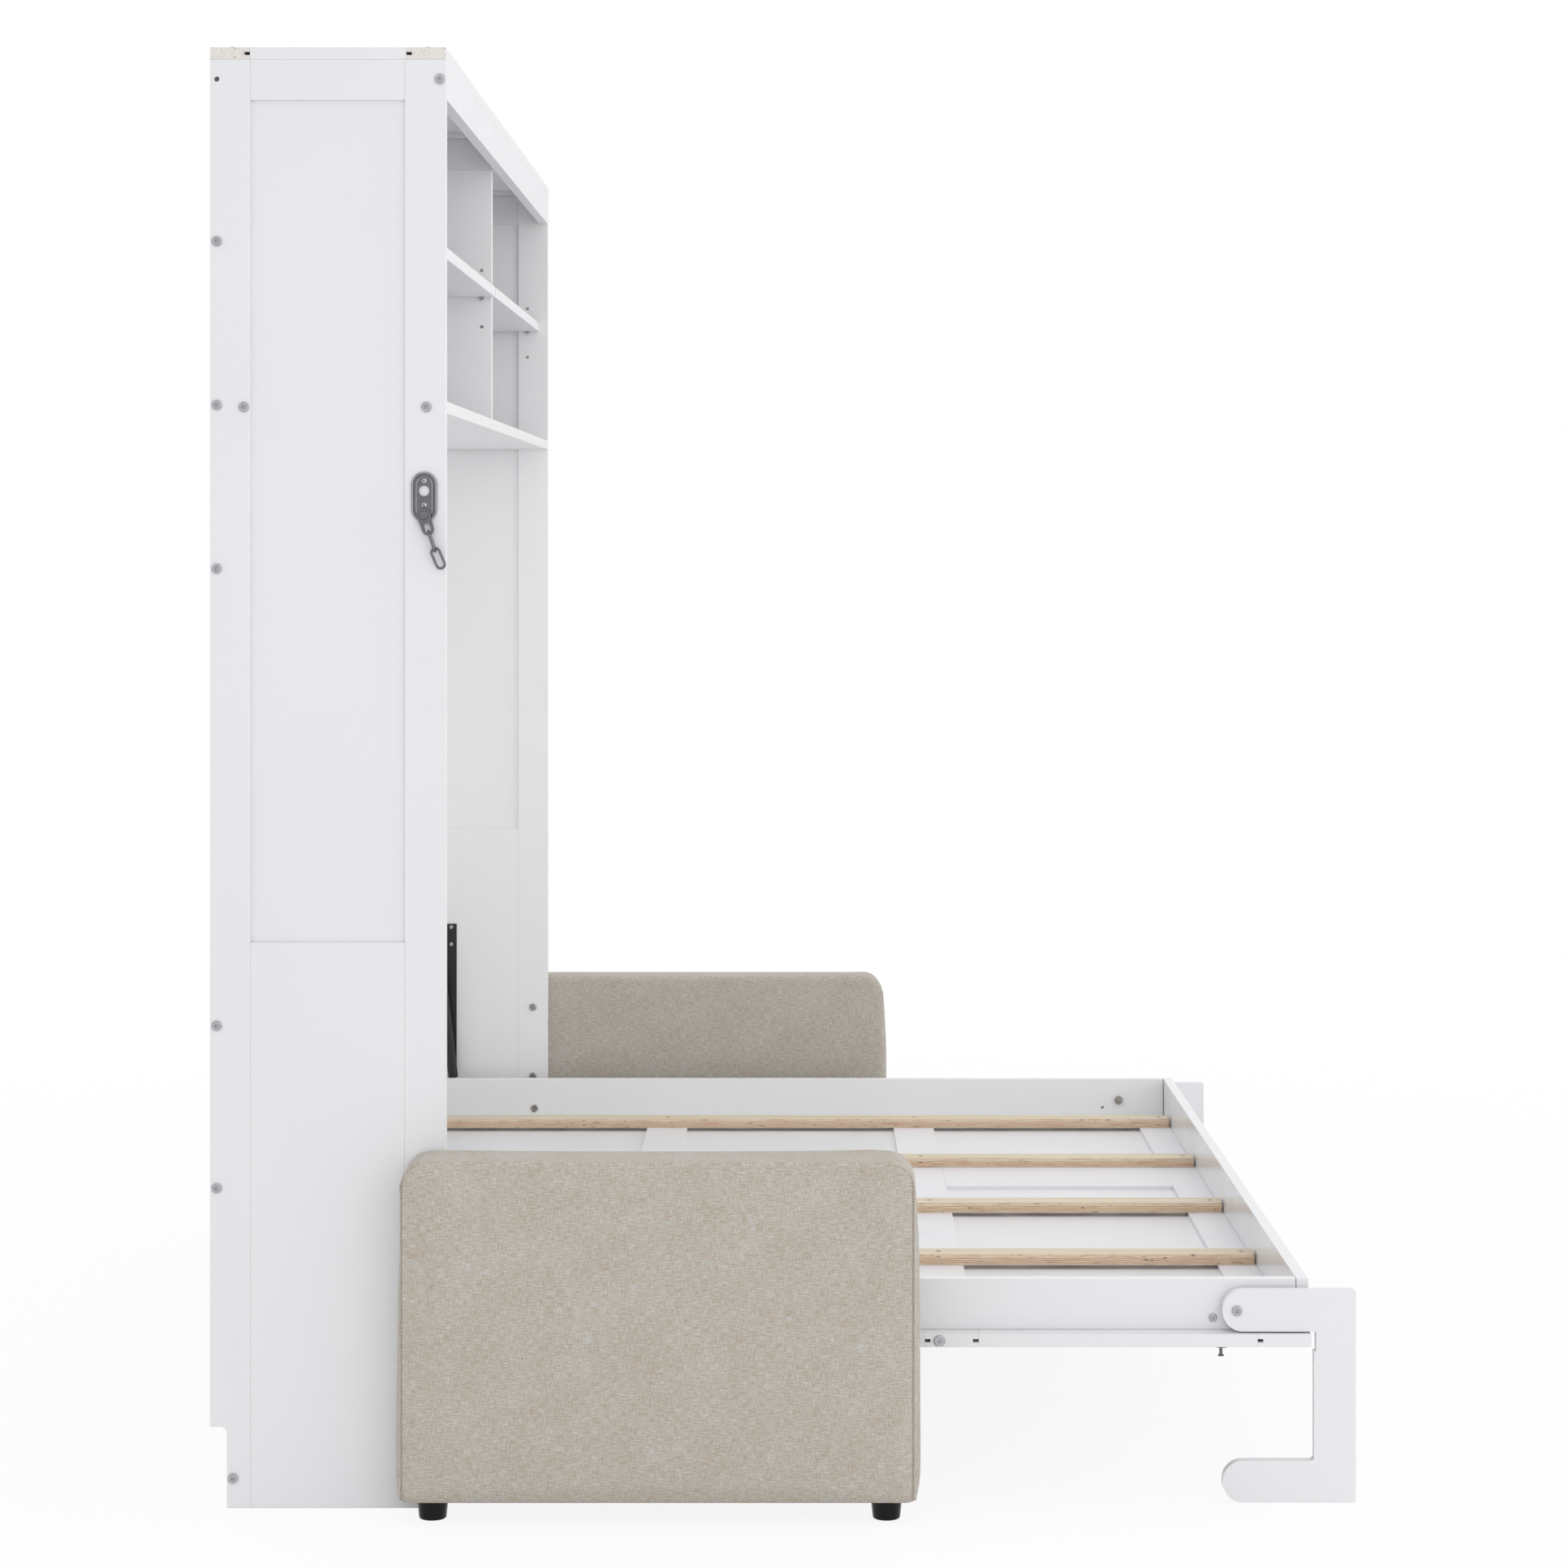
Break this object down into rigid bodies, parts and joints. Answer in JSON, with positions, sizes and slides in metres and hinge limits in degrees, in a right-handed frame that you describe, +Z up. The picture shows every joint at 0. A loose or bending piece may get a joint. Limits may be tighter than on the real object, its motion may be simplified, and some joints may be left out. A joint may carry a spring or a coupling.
{
  "type": "wall bed with sofa",
  "caption": "Wide wall bed that folds down over a low sofa, with a slatted frame, folding legs, upholstered arms, lift struts and open shelves above.",
  "frame": {"origin": "centre of the bounding box at floor level, bed down", "axes": "+X to the right along the wall as seen from the room, +Y towards the wall, +Z up"},
  "size_m": [2.42, 1.699, 2.1615],
  "materials": {
    "white_paint": "satin white paint over board",
    "plywood": "clear-coated plywood with layered edges",
    "linen": "greige linen weave",
    "frame_timber": "bare softwood and plywood",
    "zinc_steel": "bright zinc plate",
    "dark_nickel": "dark nickel plate",
    "black_steel": "satin black powder coat",
    "polished_rod": "polished",
    "black_plastic": "matt black moulded",
    "bush_plastic": "natural nylon"
  },
  "bodies": {
    "cabinet": {"front_stile_left": "white_paint", "front_stile_right": "white_paint", "rear_stile_left": "white_paint", "rear_stile_right": "white_paint", "side_top_rails": "white_paint", "upper_field_left": "white_paint", "upper_field_right": "white_paint", "lower_field_left": "white_paint", "lower_field_right": "white_paint", "top_front_boards": "white_paint", "top_rear_boards": "white_paint", "top_rails": "white_paint", "top_fields": "white_paint", "fascia": "white_paint", "centre_top_rail": "white_paint", "back_panels": "white_paint", "mid_rear_rail": "white_paint", "lower_back_board": "white_paint", "floor_rear_rail": "white_paint", "divider": "white_paint", "lower_shelf": "white_paint", "upper_shelf_left": "white_paint", "upper_shelf_right": "white_paint", "shelf_pins": "zinc_steel", "lift_channels": "black_steel", "pivot_plates": "zinc_steel", "cabinet_bolts": "zinc_steel", "cabinet_screws": "zinc_steel", "guard_plate": "dark_nickel", "arm_frames": "frame_timber", "arm_left": "linen", "arm_right": "linen", "arm_feet": "black_plastic", "seat_frame": "frame_timber", "seat_deck": "frame_timber", "seat_pad": "linen", "seat_feet": "black_plastic"},
    "bed": {"bed_rail_left": "white_paint", "bed_rail_right": "white_paint", "footboard": "white_paint", "rear_board": "white_paint", "panel_stiles": "white_paint", "panel_edges": "white_paint", "panel_mullions": "white_paint", "panel_fields": "white_paint", "slats": "plywood", "bed_bolts": "zinc_steel", "bed_screws": "zinc_steel", "rail_bushings": "bush_plastic", "crank_plates": "zinc_steel", "chain_catch": "dark_nickel"},
    "leg_left": {"leg_left": "white_paint"},
    "strut_cylinder_left": {"strut_cylinder_left": "black_steel"},
    "strut_rod_left": {"strut_rod_left": "polished_rod"},
    "leg_right": {"leg_right": "white_paint"},
    "strut_cylinder_right": {"strut_cylinder_right": "black_steel"},
    "strut_rod_right": {"strut_rod_right": "polished_rod"},
    "chain_hanger": {"chain_hanger": "dark_nickel"},
    "chain_link": {"chain_link": "dark_nickel"},
    "chain_ring": {"chain_ring": "dark_nickel"}
  },
  "joints": [
    {"name": "bed_fold", "type": "hinge", "parent": "cabinet", "child": "bed", "pos_m": [0, 0.5245, 0.267], "axis": [-1, 0, 0], "range_deg": [0, 90]},
    {"name": "leg_fold_left", "type": "hinge", "parent": "bed", "child": "leg_left", "pos_m": [-1.061, -0.6725, 0.285], "axis": [-1, 0, 0], "range_deg": [0, 180]},
    {"name": "strut_tilt_left", "type": "hinge", "parent": "cabinet", "child": "strut_cylinder_left", "pos_m": [-1.064, 0.7255, 0.6], "axis": [-1, 0, 0], "range_deg": [0, 13.05]},
    {"name": "strut_slide_left", "type": "slide", "parent": "strut_cylinder_left", "child": "strut_rod_left", "axis": [0, -0.1154, -0.9933], "range_m": [0, 0.2168]},
    {"name": "leg_fold_right", "type": "hinge", "parent": "bed", "child": "leg_right", "pos_m": [1.061, -0.6725, 0.285], "axis": [-1, 0, 0], "range_deg": [0, 180]},
    {"name": "strut_tilt_right", "type": "hinge", "parent": "cabinet", "child": "strut_cylinder_right", "pos_m": [1.064, 0.7255, 0.6], "axis": [-1, 0, 0], "range_deg": [0, 13.05]},
    {"name": "strut_slide_right", "type": "slide", "parent": "strut_cylinder_right", "child": "strut_rod_right", "axis": [0, -0.1154, -0.9933], "range_m": [0, 0.2168]},
    {"name": "chain_hanger_swing", "type": "hinge", "parent": "cabinet", "child": "chain_hanger", "pos_m": [-1.1113, 0.5325, 1.468], "axis": [-1, 0, 0], "range_deg": [-50, 40]},
    {"name": "chain_link_swing", "type": "hinge", "parent": "chain_hanger", "child": "chain_link", "pos_m": [-1.1113, 0.52524, 1.44424], "axis": [-1, 0, 0], "range_deg": [-45, 45]},
    {"name": "chain_ring_swing", "type": "hinge", "parent": "chain_link", "child": "chain_ring", "pos_m": [-1.1113, 0.51565, 1.41475], "axis": [-1, 0, 0], "range_deg": [-45, 45]}
  ],
  "couplings": [
    {"joint": "leg_fold_left", "follows": "bed_fold", "ratio": 2},
    {"joint": "strut_tilt_left", "follows": "bed_fold", "ratio": 0.145},
    {"joint": "strut_slide_left", "follows": "bed_fold", "m_per_rad": 0.138},
    {"joint": "leg_fold_right", "follows": "bed_fold", "ratio": 2},
    {"joint": "strut_tilt_right", "follows": "bed_fold", "ratio": 0.145},
    {"joint": "strut_slide_right", "follows": "bed_fold", "m_per_rad": 0.138}
  ]
}
